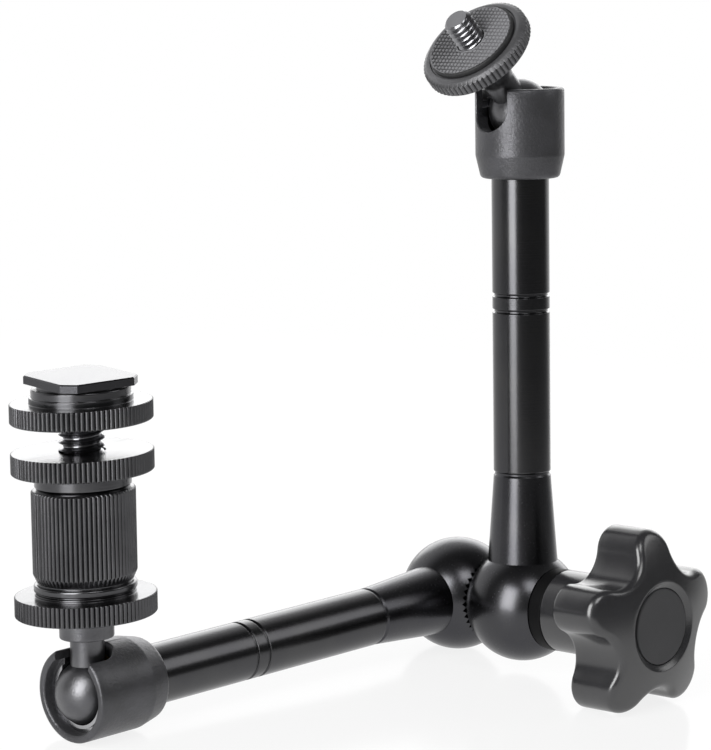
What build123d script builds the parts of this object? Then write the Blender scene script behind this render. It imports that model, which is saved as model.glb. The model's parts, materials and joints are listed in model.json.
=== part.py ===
"""Articulating friction arm: two tubes on a toothed twin-ball elbow that one knob clamps, with a slotted
ball socket at each end, a shoe mount on the lower ball and a camera screw on the upper ball.

Elbow frame, millimetres: the pivot axis is Y with the knob towards -Y, the mating plane of the two knuckles
is y = 0, the lower arm runs along -X and the upper arm stands near +Z. At the end everything is set down on
its three real feet: the lower socket, the lower knuckle and the knob's lobes.
"""
from build123d import *
from math import atan2, cos, degrees, pi, radians, sin, sqrt, tan
import os

# General
cut_over = 1.0
match_within = 0.01

# Arms
tube_r = 6.3
tube_wall = 1.9
tube_bore_r = tube_r - tube_wall
groove_at = (65.6, 69.1)
groove_width = 0.9
groove_depth = 0.45
seam_at = 29.8
seam_width = 0.8
seam_depth = 0.3
spigot_length = 9.0

# Elbow knuckles
knuckle_r = 12.6
mating_cut = 2.8
knuckle_offset = knuckle_r - mating_cut
cone_end_r = 7.7
flat_cut = 3.6
knuckle_flat_at = knuckle_r - flat_cut
tooth_count = 36
tooth_height = 0.55
tooth_tip_gap = 0.1
tooth_inner_r = 5.0

# Ball sockets
ball_r = 6.9
ball_fit = 0.1
socket_r = 9.75
socket_rear_r = 8.6
socket_taper_length = 5.0
socket_rear_fillet = 0.9
socket_rim_chamfer = 0.5
ball_depth = 4.9
slot_width = 10.0
slot_depth = 9.3
socket_length = 19.6
tube_grip = 3.6
lower_rim_at = 116.35
upper_rim_at = 114.3
ring_outer_r = 8.1
ring_front_depth = 2.0
ring_lip_width = 0.7
ring_step = 0.7
ring_back_depth = slot_depth - slot_width / 2

# Clamping train inside the arms
rod_r = 2.0
rod_fit = 0.2
seat_length = 4.0
seat_front_offset = 4.7
seat_travel_room = 0.7
seat_stop_gap = 0.05
bolt_r = 3.0
bolt_fit = 0.06
bolt_head_r = 4.9
bolt_head_length = 4.4
bolt_socket_flats = 5.0
bolt_socket_depth = 2.6
bolt_lead = 1.0
clamp_turns = 1.0
wedge_small_r = 3.6
wedge_large_r = 5.2
wedge_cone_length = 4.0
wedge_guide_length = 1.5
wedge_gap = 0.15
wedge_end_room = 1.4
chamber_fit = 0.1
web = 1.2
spring_wire_r = 0.42
spring_fit = 0.15
spring_end_play = 0.02
spring_turns = 4.5

# Knob
collar_r = 9.0
collar_length = 3.6
collar_edge = 0.5
knob_hub_r = 9.0
knob_hub_length = 13.0
knob_tip_r = 20.75
knob_valley_r = 13.8
knob_lobe_r = 5.2
knob_lobes = 5
knob_edge_length = 11.0
knob_dome_height = 4.4
knob_front_fillet = 1.5
knob_rear_fillet = 1.0
cap_r = 8.25
cap_thickness = 1.4
cap_fit = 0.15
cap_sink = 0.5
cap_glue = 0.2
cap_edge = 0.4
bevel_r = 9.7
bevel_depth = 0.75
insert_r = 5.5
insert_length = 14.0
insert_nose_r = 4.0
bolt_end_room = 1.0

# Lower head, heights above the ball centre
quarter_inch_r = 3.175
three_eighths_r = 4.7625
thread_fit = 0.05
shank_r = 3.5
shank_top = 11.6
stud_collar_r = 5.6
stud_collar_edge = 0.3
stud_collar_top = 16.5
stud_insert = 9.2
stud_end_gap = 0.4
wheel_r = 14.5
wheel_teeth = 88
knurl_depth = 0.42
wheel_edge = 0.45
lock_wheel_thickness = 4.3
lock_hub_r = 10.3
lock_hub_length = 2.8
lock_groove_r = 9.9
lock_groove_at = 0.8
lock_groove_width = 0.5
lock_lip_r = 10.5
lock_lip_edge = 0.8
lock_boss_r = 9.5
lock_boss_height = 0.4
barrel_r = 10.6
barrel_length = 19.0
barrel_teeth = 66
barrel_chamfer_in = 0.8
barrel_chamfer_up = 1.8
middle_hub_r = 9.85
middle_hub_step = 0.35
middle_hub_length = 3.3
middle_wheel_thickness = 4.3
post_gap = 6.1
post_chamfer = 0.5
shoe_wheel_thickness = 4.0
shoe_hub_r = 10.55
shoe_hub_step_r = 10.1
shoe_hub_length = 3.6
shoe_hub_step = 1.3
shoe_hub_edge = 0.2
foot_width = 18.5
foot_corner = 2.5
foot_thickness = 1.7
foot_edge = 0.25
post_spigot_r = 3.0

# Upper head, heights above the ball centre
neck_top = 10.5
flare_r = 6.6
flare_top = 16.3
flare_land = 1.8
screw_wheel_r = 12.6
screw_wheel_teeth = 76
screw_wheel_thickness = 3.6
screw_wheel_bevel = 0.7
screw_wheel_bevel_in = 1.12
pad_r = 10.1
pad_edge = 0.25
pad_thickness = 0.9
pad_hole_r = 3.5
screw_proud = 6.5
screw_tip_chamfer = 0.7
screw_relief = 0.5

# Rest pose
upper_arm_lean = 2.05
lower_slot_roll = -7.0
upper_slot_roll = -7.0
stack_lean = -0.2
stack_roll = -2.3
shoe_yaw = -8.5
upper_head_tilt = 45.5
upper_head_roll = 1.0


def turned(points):
    """Solid of revolution about local Z from a closed (radius, height) outline."""
    outline = make_face(Plane.XZ * Polyline(*points, close=True))
    return revolve(outline, Axis.Z)


def toothed_disc(radius, teeth, depth, bottom, top):
    """Straight-knurled disc: V ridges round the rim, drawn as one star polygon and extruded."""
    corners = []
    for i in range(2 * teeth):
        r = radius if i % 2 == 0 else radius - depth
        a = pi * i / teeth
        corners.append((r * cos(a), r * sin(a)))
    face = make_face(Plane.XY * Polyline(*corners, close=True))
    return Pos(0, 0, bottom) * extrude(face, top - bottom)


def knurled(radius, teeth, bottom, top, lower_chamfer, upper_chamfer):
    """Toothed disc with turned chamfers, each given as (inwards, along)."""
    body = toothed_disc(radius, teeth, knurl_depth, bottom, top)
    outside = radius + match_within
    envelope = turned([
        (0, bottom), (radius - lower_chamfer[0], bottom), (outside, bottom + lower_chamfer[1]),
        (outside, top - upper_chamfer[1]), (radius - upper_chamfer[0], top), (0, top),
    ])
    return body & envelope


def cylinder(radius, bottom, top):
    """Plain cylinder along local Z."""
    return Pos(0, 0, bottom) * Cylinder(radius, top - bottom, align=(Align.CENTER, Align.CENTER, Align.MIN))


def along_pivot(shape, y=0.0):
    """Turns a shape made along Z so that it runs along local +Y, starting from the height y."""
    return Pos(0, y, 0) * Rot(-90, 0, 0) * shape


# Arm frames: local Z runs along the arm, local X faces the slot side and local +Y points away from the
# other knuckle, so one set of functions makes both arms.
lower_dir = Vector(-1, 0, 0)
upper_dir = Vector(sin(radians(upper_arm_lean)), 0, cos(radians(upper_arm_lean)))
lower_frame = Location(Plane(origin=(0, knuckle_offset, 0), x_dir=(0, 0, 1), z_dir=lower_dir))
upper_frame = Location(Plane(origin=(0, -knuckle_offset, 0), x_dir=(-upper_dir.Z, 0, upper_dir.X),
                             z_dir=upper_dir))

lower_ball_at = lower_rim_at - ball_depth
upper_ball_at = upper_rim_at - ball_depth
cavity_r = ball_r + ball_fit
chamber_r = wedge_large_r + chamber_fit
wedge_slope = (wedge_large_r - wedge_small_r) / wedge_cone_length
wedge_travel = bolt_lead * clamp_turns
rod_travel = wedge_travel * wedge_slope
seat_ball_gap = rod_travel + seat_stop_gap
chamber_floor = wedge_cone_length / 2 + wedge_travel + wedge_end_room
seat_back_depth = ball_depth + seat_front_offset + seat_length
chamber_back_depth = seat_back_depth + seat_travel_room
mating_at = knuckle_offset - tooth_tip_gap / 2
mating_r = sqrt(knuckle_r ** 2 - mating_at ** 2)
spring_r = bolt_r + bolt_fit + spring_fit + spring_wire_r
spring_bore_r = spring_r + spring_wire_r + spring_fit


def knuckle():
    """Elbow half: sphere, cone neck and tube spigot, with radial V teeth on the mating face."""
    cone_start = sqrt(knuckle_r ** 2 - cone_end_r ** 2)
    body = Sphere(knuckle_r)
    spigot_end = seam_at + spigot_length
    body += turned([(0, 0), (cone_end_r, cone_start), (tube_r, seam_at - seam_width),
                    (tube_r - seam_depth, seam_at - seam_width / 2), (tube_r - seam_depth, seam_at),
                    (tube_bore_r, seam_at), (tube_bore_r, spigot_end), (0, spigot_end)])
    inboard = Pos(0, -mating_at, 0) * Box(
        4 * knuckle_r, knuckle_r, 4 * knuckle_r, align=(Align.CENTER, Align.MAX, Align.CENTER))
    outboard = Pos(0, knuckle_flat_at, 0) * Box(
        4 * knuckle_r, knuckle_r, 4 * knuckle_r, align=(Align.CENTER, Align.MIN, Align.CENTER))
    body = body - inboard - outboard
    # Face teeth: pyramids with their points on the pivot axis are cut out of the mating face.
    reach = knuckle_r
    half = reach * tan(pi / tooth_count)
    deep = tooth_height * reach / mating_r
    mouth = make_face(Plane.YZ.offset(reach) * Polyline((-half, 0), (half, 0), (0, -deep), close=True))
    gash = loft([mouth, Vertex(0, 0, 0)])
    gashes = [Rot(0, 0, 360 / tooth_count * i) * gash for i in range(tooth_count)]
    body -= along_pivot(Rot(180, 0, 0) * Compound(gashes), -mating_at).solids()
    # Bores along the pivot: wedge chamber from outside, bolt hole, spring pocket from the mating face.
    body -= along_pivot(cylinder(chamber_r, -chamber_floor, knuckle_r))
    body -= along_pivot(cylinder(bolt_r + bolt_fit, -knuckle_offset, 0))
    body -= along_pivot(cylinder(spring_bore_r, -knuckle_offset, -chamber_floor - web))
    body -= along_pivot(cylinder(tooth_inner_r, -knuckle_offset, tooth_height - mating_at))
    body -= cylinder(rod_r + rod_fit, 0, spigot_end + cut_over)
    return body


def tube(rim_at):
    """Tube from the knuckle's shoulder into the socket, with two ring grooves."""
    end = rim_at - socket_length + tube_grip
    points = [(tube_bore_r, seam_at), (tube_r - seam_depth, seam_at), (tube_r, seam_at + seam_depth)]
    for s in groove_at:
        points += [(tube_r, s - groove_width / 2), (tube_r - groove_depth, s - groove_width / 4),
                   (tube_r - groove_depth, s + groove_width / 4), (tube_r, s + groove_width / 2)]
    points += [(tube_r, end), (tube_bore_r, end)]
    return turned(points)


def socket(rim_at):
    """Ball cup: tapered rear, open rim, ring recess, ball chamber and a U slot on the local +X side."""
    start = rim_at - socket_length
    taper_end = start + socket_taper_length
    chamber_end = rim_at - chamber_back_depth
    ring_seat = rim_at - ring_back_depth
    body = turned([
        (tube_r, start), (socket_rear_r, start), (socket_r, taper_end), (socket_r, rim_at),
        (ring_outer_r, rim_at), (ring_outer_r, ring_seat), (cavity_r, ring_seat), (cavity_r, chamber_end),
        (rod_r + rod_fit, chamber_end), (rod_r + rod_fit, start + tube_grip), (tube_r, start + tube_grip),
    ])
    rear = body.edges().filter_by(GeomType.CIRCLE).filter_by(
        lambda e: abs(e.radius - socket_rear_r) < match_within and abs(e.center().Z - start) < match_within)
    body = fillet(rear, socket_rear_fillet)
    rim = body.edges().filter_by(GeomType.CIRCLE).filter_by(
        lambda e: abs(e.center().Z - rim_at) < match_within)
    body = chamfer(rim, socket_rim_chamfer)
    return body - slot_cutter(rim_at)


def slot_cutter(rim_at):
    """U-shaped cutter: half-round bottom, open at the rim, through one wall."""
    bottom_centre = rim_at - slot_depth + slot_width / 2
    height = rim_at - bottom_centre + cut_over
    flat = Pos(0, 0, bottom_centre) * Box(
        2 * socket_r, slot_width, height, align=(Align.MIN, Align.CENTER, Align.MIN))
    round_end = Pos(0, 0, bottom_centre) * Rot(0, 90, 0) * cylinder(slot_width / 2, 0, 2 * socket_r)
    return flat + round_end


def retaining_ring(rim_at):
    """Split ring in front of the ball: spherical inside, raised inner lip, gap at the slot."""
    back = rim_at - ring_back_depth
    front = rim_at - ring_front_depth
    centre = rim_at - ball_depth
    lip_r = sqrt(cavity_r ** 2 - (front - centre) ** 2)
    body = turned([(0, back), (ring_outer_r, back), (ring_outer_r, front - ring_step),
                   (lip_r + ring_lip_width, front - ring_step), (lip_r + ring_lip_width, front), (0, front)])
    body -= Pos(0, 0, centre) * Sphere(cavity_r)
    body -= Pos(0, 0, back) * Box(2 * socket_r, slot_width, 2 * ring_back_depth,
                                  align=(Align.MIN, Align.CENTER, Align.CENTER))
    return body


def ball_seat(rim_at):
    """Pusher behind the ball, with a concave front."""
    back = rim_at - seat_back_depth
    body = cylinder(ball_r, back, back + seat_length)
    return body - Pos(0, 0, rim_at - ball_depth) * Sphere(ball_r + seat_ball_gap)


def push_rod(rim_at):
    """Rod from the wedge cone on the pivot to the back of the ball seat."""
    body = cylinder(rod_r, 0, rim_at - seat_back_depth)
    return body - along_pivot(wedge_cone(wedge_gap))


def wedge_cone(gap):
    """Driving cone along local Z, widest at its outer end, grown by a gap."""
    half = wedge_cone_length / 2
    more = gap * sqrt(1 + wedge_slope ** 2)
    return turned([(0, -2 * half), (wedge_small_r + more - wedge_slope * half, -2 * half),
                   (wedge_large_r + more + wedge_slope * half, 2 * half), (0, 2 * half)])


def wedge():
    """Cone sleeve on the bolt: driving cone with a cylindrical guide at its wide end."""
    half = wedge_cone_length / 2
    inner = bolt_r + bolt_fit
    return turned([(inner, -half), (wedge_small_r, -half), (wedge_large_r, half),
                   (wedge_large_r, half + wedge_guide_length), (inner, half + wedge_guide_length)])


wedge_back = wedge_cone_length / 2 + wedge_guide_length

# Pivot pieces, placed by their distance from the mating plane along the knob's side.
collar_at = knuckle_offset + knuckle_flat_at
hub_at = collar_at + collar_length
knob_rear_at = hub_at + knob_hub_length
knob_front_at = knob_rear_at + knob_edge_length
insert_nose_at = knuckle_offset + wedge_back
insert_end_at = hub_at + insert_length
bolt_head_at = knuckle_offset + wedge_back
bolt_end_at = insert_end_at - wedge_travel - bolt_end_room
dome_top_at = knob_front_at + knob_dome_height
dome_r = (knob_tip_r ** 2 + knob_dome_height ** 2) / (2 * knob_dome_height)
recess_rim_at = dome_top_at - dome_r + sqrt(dome_r ** 2 - bevel_r ** 2)
cap_face_at = recess_rim_at - cap_sink


def on_knob_side(shape):
    """Places a shape made along Z on the pivot so that its Z runs outwards on the knob's side."""
    return Rot(90, 0, 0) * shape


def clamp_bolt():
    """Socket-head bolt along the pivot, head against the lower wedge and thread end in the knob's insert."""
    body = cylinder(bolt_r, -bolt_head_at, bolt_end_at)
    body += cylinder(bolt_head_r, -bolt_head_at - bolt_head_length, -bolt_head_at)
    key = extrude(RegularPolygon(bolt_socket_flats / 2, 6, major_radius=False), bolt_socket_depth)
    return on_knob_side(body - Pos(0, 0, -bolt_head_at - bolt_head_length) * key)


def release_spring():
    """Coil spring round the bolt that parts the two knuckles."""
    seat = chamber_floor + web
    length = 2 * (knuckle_offset - seat - spring_wire_r - spring_end_play)
    path = Helix(pitch=length / spring_turns, height=length, radius=spring_r)
    section = Plane(origin=path @ 0, z_dir=path % 0) * Circle(spring_wire_r)
    coil = sweep(section, path=path)
    return on_knob_side(Pos(0, 0, -length / 2) * coil)


def clamp_collar():
    """Thrust collar between the upper knuckle's flat and the knob."""
    e = collar_edge
    return on_knob_side(turned([
        (insert_nose_r + bolt_fit, collar_at), (collar_r - e, collar_at), (collar_r, collar_at + e),
        (collar_r, hub_at - e / 2), (collar_r - e / 2, hub_at), (insert_nose_r + bolt_fit, hub_at)]))


def knob_phase():
    """Turn that points one lobe straight up from the floor, so that the two below stand on it level."""
    up = floor_normal()
    return degrees(atan2(up.Z, up.X))


def lobed_outline():
    """Closed outline of alternating tip and valley arcs, tangent to each other."""
    tip_c = knob_tip_r - knob_lobe_r
    half_angle = pi / knob_lobes
    # Tangency of a tip arc (radius a, centre distance c) and a valley arc (radius b, centre v + b) gives
    # c^2 + (v + b)^2 - 2 c (v + b) cos = (a + b)^2, which is linear in b.
    a, c, v, k = knob_lobe_r, tip_c, knob_valley_r, cos(half_angle)
    b = (c * c + v * v - 2 * c * v * k - a * a) / (2 * (a - v + c * k))
    valley_c = v + b
    arcs = []
    for i in range(knob_lobes):
        mid = 2 * half_angle * i
        joints = []
        for side in (-1, 1):
            tip = Vector(tip_c * cos(mid), tip_c * sin(mid))
            turn = mid + side * half_angle
            valley = Vector(valley_c * cos(turn), valley_c * sin(turn))
            joints.append(tip + (valley - tip) * (a / (a + b)))
        peak = Vector(knob_tip_r * cos(mid), knob_tip_r * sin(mid))
        arcs.append(ThreePointArc(joints[0], peak, joints[1]))
        low = Vector(v * cos(mid + half_angle), v * sin(mid + half_angle))
        nxt = joints[0].rotate(Axis.Z, degrees(2 * half_angle))
        arcs.append(ThreePointArc(joints[1], low, nxt))
    return make_face(arcs)


def knob():
    """Five-lobe moulded knob: domed front, rounded edges, round hub behind and a bevelled cap recess."""
    span = knob_edge_length + knob_dome_height
    body = Pos(0, 0, knob_rear_at) * extrude(lobed_outline(), span)
    body &= Pos(0, 0, dome_top_at - dome_r) * Sphere(dome_r)
    front = body.edges().filter_by(lambda e: e.center().Z > (knob_rear_at + knob_front_at) / 2
                                   and e.geom_type != GeomType.LINE)
    body = fillet(front, knob_front_fillet)
    rear = body.edges().filter_by(lambda e: abs(e.center().Z - knob_rear_at) < match_within)
    body = fillet(rear, knob_rear_fillet)
    body += cylinder(knob_hub_r, hub_at, knob_rear_at + cut_over)
    recess_floor = cap_face_at - cap_thickness - cap_glue
    recess_r = cap_r + cap_fit
    body -= turned([
        (0, recess_floor), (recess_r, recess_floor), (recess_r, recess_rim_at - bevel_depth),
        (bevel_r, recess_rim_at), (bevel_r, dome_top_at + cut_over), (0, dome_top_at + cut_over)])
    body -= cylinder(insert_r, hub_at, insert_end_at)
    return on_knob_side(Rot(0, 0, knob_phase()) * body)


def knob_insert():
    """Threaded nut moulded in the knob, with a nose that reaches through the collar to the upper wedge."""
    inner = bolt_r + thread_fit
    return on_knob_side(turned([
        (inner, insert_nose_at), (insert_nose_r, insert_nose_at), (insert_nose_r, hub_at), (insert_r, hub_at),
        (insert_r, insert_end_at), (inner, insert_end_at)]))


def knob_cap():
    """Round cap in the knob's face."""
    back = cap_face_at - cap_thickness
    return on_knob_side(turned([
        (0, back), (cap_r, back), (cap_r, cap_face_at - cap_edge), (cap_r - cap_edge, cap_face_at),
        (0, cap_face_at)]))


# Heights of the lower head's pieces above the ball centre, each resting on the one below.
lock_bottom = stud_collar_top
lock_top = lock_bottom + lock_wheel_thickness
barrel_bottom = lock_top + lock_hub_length
barrel_top = barrel_bottom + barrel_length
stud_top = barrel_bottom + stud_insert
post_bottom = stud_top + stud_end_gap
middle_bottom = barrel_top + middle_hub_length
middle_top = middle_bottom + middle_wheel_thickness
shoe_bottom = middle_top + post_gap
shoe_wheel_top = shoe_bottom + shoe_wheel_thickness
foot_bottom = shoe_wheel_top + shoe_hub_length
foot_top = foot_bottom + foot_thickness


def lower_ball_stud():
    """Ball, shank, round collar and quarter-inch stud."""
    return Sphere(ball_r) + turned([
        (0, 0), (shank_r, 0), (shank_r, shank_top), (stud_collar_r - stud_collar_edge, shank_top),
        (stud_collar_r, shank_top + stud_collar_edge), (stud_collar_r, stud_collar_top),
        (quarter_inch_r, stud_collar_top), (quarter_inch_r, stud_top - screw_tip_chamfer),
        (quarter_inch_r - screw_tip_chamfer, stud_top), (0, stud_top)])


def lock_wheel():
    """Knurled wheel with a grooved hub on top."""
    rim = knurled(wheel_r, wheel_teeth, lock_bottom, lock_top, (wheel_edge, wheel_edge),
                  (wheel_edge, wheel_edge))
    start = lock_top - cut_over
    groove = lock_top + lock_groove_at
    lip_top = barrel_bottom - lock_boss_height
    hub = turned([
        (0, start), (lock_hub_r, start), (lock_hub_r, groove - lock_groove_width / 2),
        (lock_groove_r, groove - lock_groove_width / 4), (lock_groove_r, groove + lock_groove_width / 4),
        (lock_lip_r, groove + lock_groove_width / 2), (lock_lip_r, lip_top - lock_lip_edge * 2 / 3),
        (lock_lip_r - lock_lip_edge / 3, lip_top - lock_lip_edge / 4), (lock_lip_r - lock_lip_edge, lip_top),
        (lock_boss_r, lip_top), (lock_boss_r, barrel_bottom), (0, barrel_bottom)])
    return rim + hub - cylinder(quarter_inch_r + thread_fit, lock_bottom - cut_over, barrel_bottom + cut_over)


def knurled_barrel():
    """Straight-knurled coupling: quarter-inch hole below, three-eighths hole above."""
    body = knurled(barrel_r, barrel_teeth, barrel_bottom, barrel_top,
                   (barrel_chamfer_in, barrel_chamfer_up), (knurl_depth, knurl_depth))
    holes_meet = (stud_top + post_bottom) / 2
    body -= cylinder(quarter_inch_r + thread_fit, barrel_bottom - cut_over, holes_meet)
    return body - cylinder(three_eighths_r + thread_fit, holes_meet, barrel_top + cut_over)


def middle_wheel():
    """Knurled wheel with a plain hub below it."""
    rim = knurled(wheel_r, wheel_teeth, middle_bottom, middle_top, (wheel_edge, wheel_edge),
                  (wheel_edge, wheel_edge))
    neck_r = middle_hub_r - middle_hub_step
    hub = turned([(0, barrel_top), (neck_r, barrel_top), (neck_r, barrel_top + middle_hub_step),
                  (middle_hub_r, barrel_top + 2 * middle_hub_step), (middle_hub_r, middle_bottom + cut_over),
                  (0, middle_bottom + cut_over)])
    return rim + hub - cylinder(three_eighths_r + thread_fit, barrel_top - cut_over, middle_top + cut_over)


def shoe_post():
    """Three-eighths threaded post with a spigot that is staked into the foot."""
    spigot_top = foot_bottom + foot_thickness / 2
    return turned([
        (0, post_bottom), (three_eighths_r - post_chamfer, post_bottom),
        (three_eighths_r, post_bottom + post_chamfer), (three_eighths_r, foot_bottom),
        (post_spigot_r, foot_bottom), (post_spigot_r, spigot_top), (0, spigot_top)])


def shoe_wheel():
    """Knurled wheel with a stepped hub that closes on the foot."""
    rim = knurled(wheel_r, wheel_teeth, shoe_bottom, shoe_wheel_top, (wheel_edge, wheel_edge),
                  (wheel_edge, wheel_edge))
    start = shoe_wheel_top - cut_over
    step = shoe_wheel_top + shoe_hub_step
    hub = turned([(0, start), (shoe_hub_r, start), (shoe_hub_r, step - shoe_hub_edge),
                  (shoe_hub_r - shoe_hub_edge, step), (shoe_hub_step_r, step),
                  (shoe_hub_step_r, foot_bottom), (0, foot_bottom)])
    return rim + hub - cylinder(three_eighths_r + thread_fit, shoe_bottom - cut_over, foot_bottom + cut_over)


def shoe_foot():
    """Square shoe plate with clipped corners."""
    plate = Box(foot_width, foot_width, foot_thickness, align=(Align.CENTER, Align.CENTER, Align.MIN))
    plate = chamfer(plate.edges().filter_by(Axis.Z), foot_corner)
    plate = chamfer(plate.faces().sort_by(Axis.Z)[-1].edges(), foot_edge)
    plate = Pos(0, 0, foot_bottom) * plate
    return plate - cylinder(post_spigot_r, foot_bottom, foot_bottom + foot_thickness / 2)


screw_wheel_bottom = flare_top + flare_land
screw_wheel_top = screw_wheel_bottom + screw_wheel_thickness
pad_top = screw_wheel_top + pad_thickness
screw_top = pad_top + screw_proud


def upper_ball_stud():
    """Ball, neck, conical flare and the camera screw, relieved inside the pad, with its chamfered tip."""
    relief_r = quarter_inch_r - screw_relief
    return Sphere(ball_r) + turned([
        (0, 0), (shank_r, 0), (shank_r, neck_top), (flare_r, flare_top), (flare_r, screw_wheel_bottom),
        (quarter_inch_r, screw_wheel_bottom), (quarter_inch_r, screw_wheel_top), (relief_r, screw_wheel_top),
        (relief_r, pad_top), (quarter_inch_r, pad_top), (quarter_inch_r, screw_top - screw_tip_chamfer),
        (quarter_inch_r - screw_tip_chamfer, screw_top), (0, screw_top)])


def screw_wheel():
    """Knurled wheel under the pad, with a wide bevel on its upper edge."""
    body = knurled(screw_wheel_r, screw_wheel_teeth, screw_wheel_bottom, screw_wheel_top,
                   (screw_wheel_bevel, screw_wheel_bevel), (screw_wheel_bevel_in, screw_wheel_bevel))
    return body - cylinder(
        quarter_inch_r + thread_fit, screw_wheel_bottom - cut_over, screw_wheel_top + cut_over)


def rubber_pad():
    """Ring-shaped pad bonded to the wheel."""
    return turned([(pad_hole_r, screw_wheel_top), (pad_r, screw_wheel_top), (pad_r, pad_top - pad_edge),
                   (pad_r - pad_edge, pad_top), (pad_hole_r, pad_top)])


def floor_normal():
    """Upward normal of the plane under the arm's feet: the lower knuckle, the lower socket's rim and the rear
    edge of the knob's two lower lobes. Each pass puts a plane through the lowest points of the last one."""
    up = Vector(0, 0, 1)
    lobe_reach = (knob_tip_r - knob_lobe_r) * cos(pi / knob_lobes) + knob_lobe_r - knob_rear_fillet
    for _ in range(8):
        knuckle_foot = Vector(0, knuckle_offset, 0) - up * knuckle_r
        rim_centre = Vector(-(lower_rim_at - socket_rim_chamfer), knuckle_offset, 0)
        rim_foot = rim_centre - Vector(0, up.Y, up.Z).normalized() * socket_r
        lobe_foot = (Vector(0, -(knob_rear_at + knob_rear_fillet), 0) - up * knob_rear_fillet
                     - Vector(up.X, 0, up.Z).normalized() * lobe_reach)
        up = (lobe_foot - rim_foot).cross(knuckle_foot - rim_foot).normalized()
    return up


# Rest attitude: the floor's normal is turned upright, with the lower arm kept over -X.
floor_up = floor_normal()
floor_x = (Vector(1, 0, 0) - floor_up * floor_up.X).normalized()
attitude = Location(Plane(origin=(0, 0, 0), x_dir=floor_x, z_dir=floor_up)).inverse()

lower_socket_frame = lower_frame * Rot(0, 0, lower_slot_roll)
upper_socket_frame = upper_frame * Rot(0, 0, upper_slot_roll)
lower_stack_frame = lower_frame * Pos(0, 0, lower_ball_at) * Rot(0, 0, stack_roll) * Rot(0, 90 + stack_lean, 0)
shoe_frame = lower_stack_frame * Rot(0, 0, shoe_yaw)
upper_head_frame = (upper_frame * Pos(0, 0, upper_ball_at) * Rot(0, 0, upper_head_roll)
                    * Rot(0, upper_head_tilt, 0))

nodes = {
    "lower_knuckle": lower_frame * knuckle(),
    "lower_tube": lower_frame * tube(lower_rim_at),
    "lower_socket": lower_socket_frame * socket(lower_rim_at),
    "lower_retaining_ring": lower_socket_frame * retaining_ring(lower_rim_at),
    "lower_ball_seat": lower_frame * ball_seat(lower_rim_at),
    "lower_push_rod": lower_frame * push_rod(lower_rim_at),
    "upper_knuckle": upper_frame * knuckle(),
    "upper_tube": upper_frame * tube(upper_rim_at),
    "upper_socket": upper_socket_frame * socket(upper_rim_at),
    "upper_retaining_ring": upper_socket_frame * retaining_ring(upper_rim_at),
    "upper_ball_seat": upper_frame * ball_seat(upper_rim_at),
    "upper_push_rod": upper_frame * push_rod(upper_rim_at),
    "clamp_bolt": clamp_bolt(),
    "lower_wedge": lower_frame * along_pivot(wedge()),
    "upper_wedge": upper_frame * along_pivot(wedge()),
    "release_spring": release_spring(),
    "clamp_collar": clamp_collar(),
    "knob": knob(),
    "knob_insert": knob_insert(),
    "knob_cap": knob_cap(),
    "lower_ball_stud": lower_stack_frame * lower_ball_stud(),
    "lock_wheel": lower_stack_frame * lock_wheel(),
    "knurled_barrel": lower_stack_frame * knurled_barrel(),
    "middle_wheel": lower_stack_frame * middle_wheel(),
    "shoe_post": lower_stack_frame * shoe_post(),
    "shoe_wheel": lower_stack_frame * shoe_wheel(),
    "shoe_foot": shoe_frame * shoe_foot(),
    "upper_ball_stud": upper_head_frame * upper_ball_stud(),
    "screw_wheel": upper_head_frame * screw_wheel(),
    "rubber_pad": upper_head_frame * rubber_pad(),
}

# Set down on the floor with the origin under the middle of the whole arm's box.
tilted = {name: attitude * shape for name, shape in nodes.items()}
box = Compound([s for shape in tilted.values() for s in shape.solids()]).bounding_box(optimal=True)
set_down = Pos(-(box.min.X + box.max.X) / 2, -(box.min.Y + box.max.Y) / 2, -box.min.Z)
rest = set_down * attitude

os.makedirs("parts", exist_ok=True)
for name, shape in tilted.items():
    placed = set_down * shape
    placed.label = name
    export_step(placed, os.path.join("parts", name + ".step"))
print("nodes", len(nodes), "box", box.size)
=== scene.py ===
"""Articulating friction arm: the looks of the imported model.

Two black anodised tubes meet at a toothed twin-ball elbow under a moulded five-lobe knob. The lower arm's cup
holds a ball with a stack of knurled wheels and a shoe plate, and the upper arm's cup holds a ball with a
camera screw. Lengths are in millimetres until a surface is put in its place, in metres.
"""

import json

import bmesh
import bpy
import numpy as np
from mathutils import Matrix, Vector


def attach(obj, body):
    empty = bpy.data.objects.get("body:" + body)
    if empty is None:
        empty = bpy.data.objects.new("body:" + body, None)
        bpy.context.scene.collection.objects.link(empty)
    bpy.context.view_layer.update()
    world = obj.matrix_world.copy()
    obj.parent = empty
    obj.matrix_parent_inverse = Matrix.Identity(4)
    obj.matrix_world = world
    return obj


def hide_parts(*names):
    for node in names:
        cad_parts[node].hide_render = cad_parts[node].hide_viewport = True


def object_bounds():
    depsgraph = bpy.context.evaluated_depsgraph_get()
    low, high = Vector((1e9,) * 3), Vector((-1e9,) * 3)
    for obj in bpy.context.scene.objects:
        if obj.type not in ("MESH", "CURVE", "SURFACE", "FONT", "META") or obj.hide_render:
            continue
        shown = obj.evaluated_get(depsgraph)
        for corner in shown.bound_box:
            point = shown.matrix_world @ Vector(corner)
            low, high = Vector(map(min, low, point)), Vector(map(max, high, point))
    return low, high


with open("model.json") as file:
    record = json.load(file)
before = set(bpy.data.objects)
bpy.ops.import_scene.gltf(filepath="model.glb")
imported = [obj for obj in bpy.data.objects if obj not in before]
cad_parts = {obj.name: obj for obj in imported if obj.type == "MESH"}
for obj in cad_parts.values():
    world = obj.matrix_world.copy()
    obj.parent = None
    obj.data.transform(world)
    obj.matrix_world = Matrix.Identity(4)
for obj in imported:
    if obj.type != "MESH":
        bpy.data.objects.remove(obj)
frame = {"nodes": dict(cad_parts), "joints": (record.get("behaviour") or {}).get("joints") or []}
cad_low, cad_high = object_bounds()

MM = 0.001
TURN = 2 * np.pi

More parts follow.
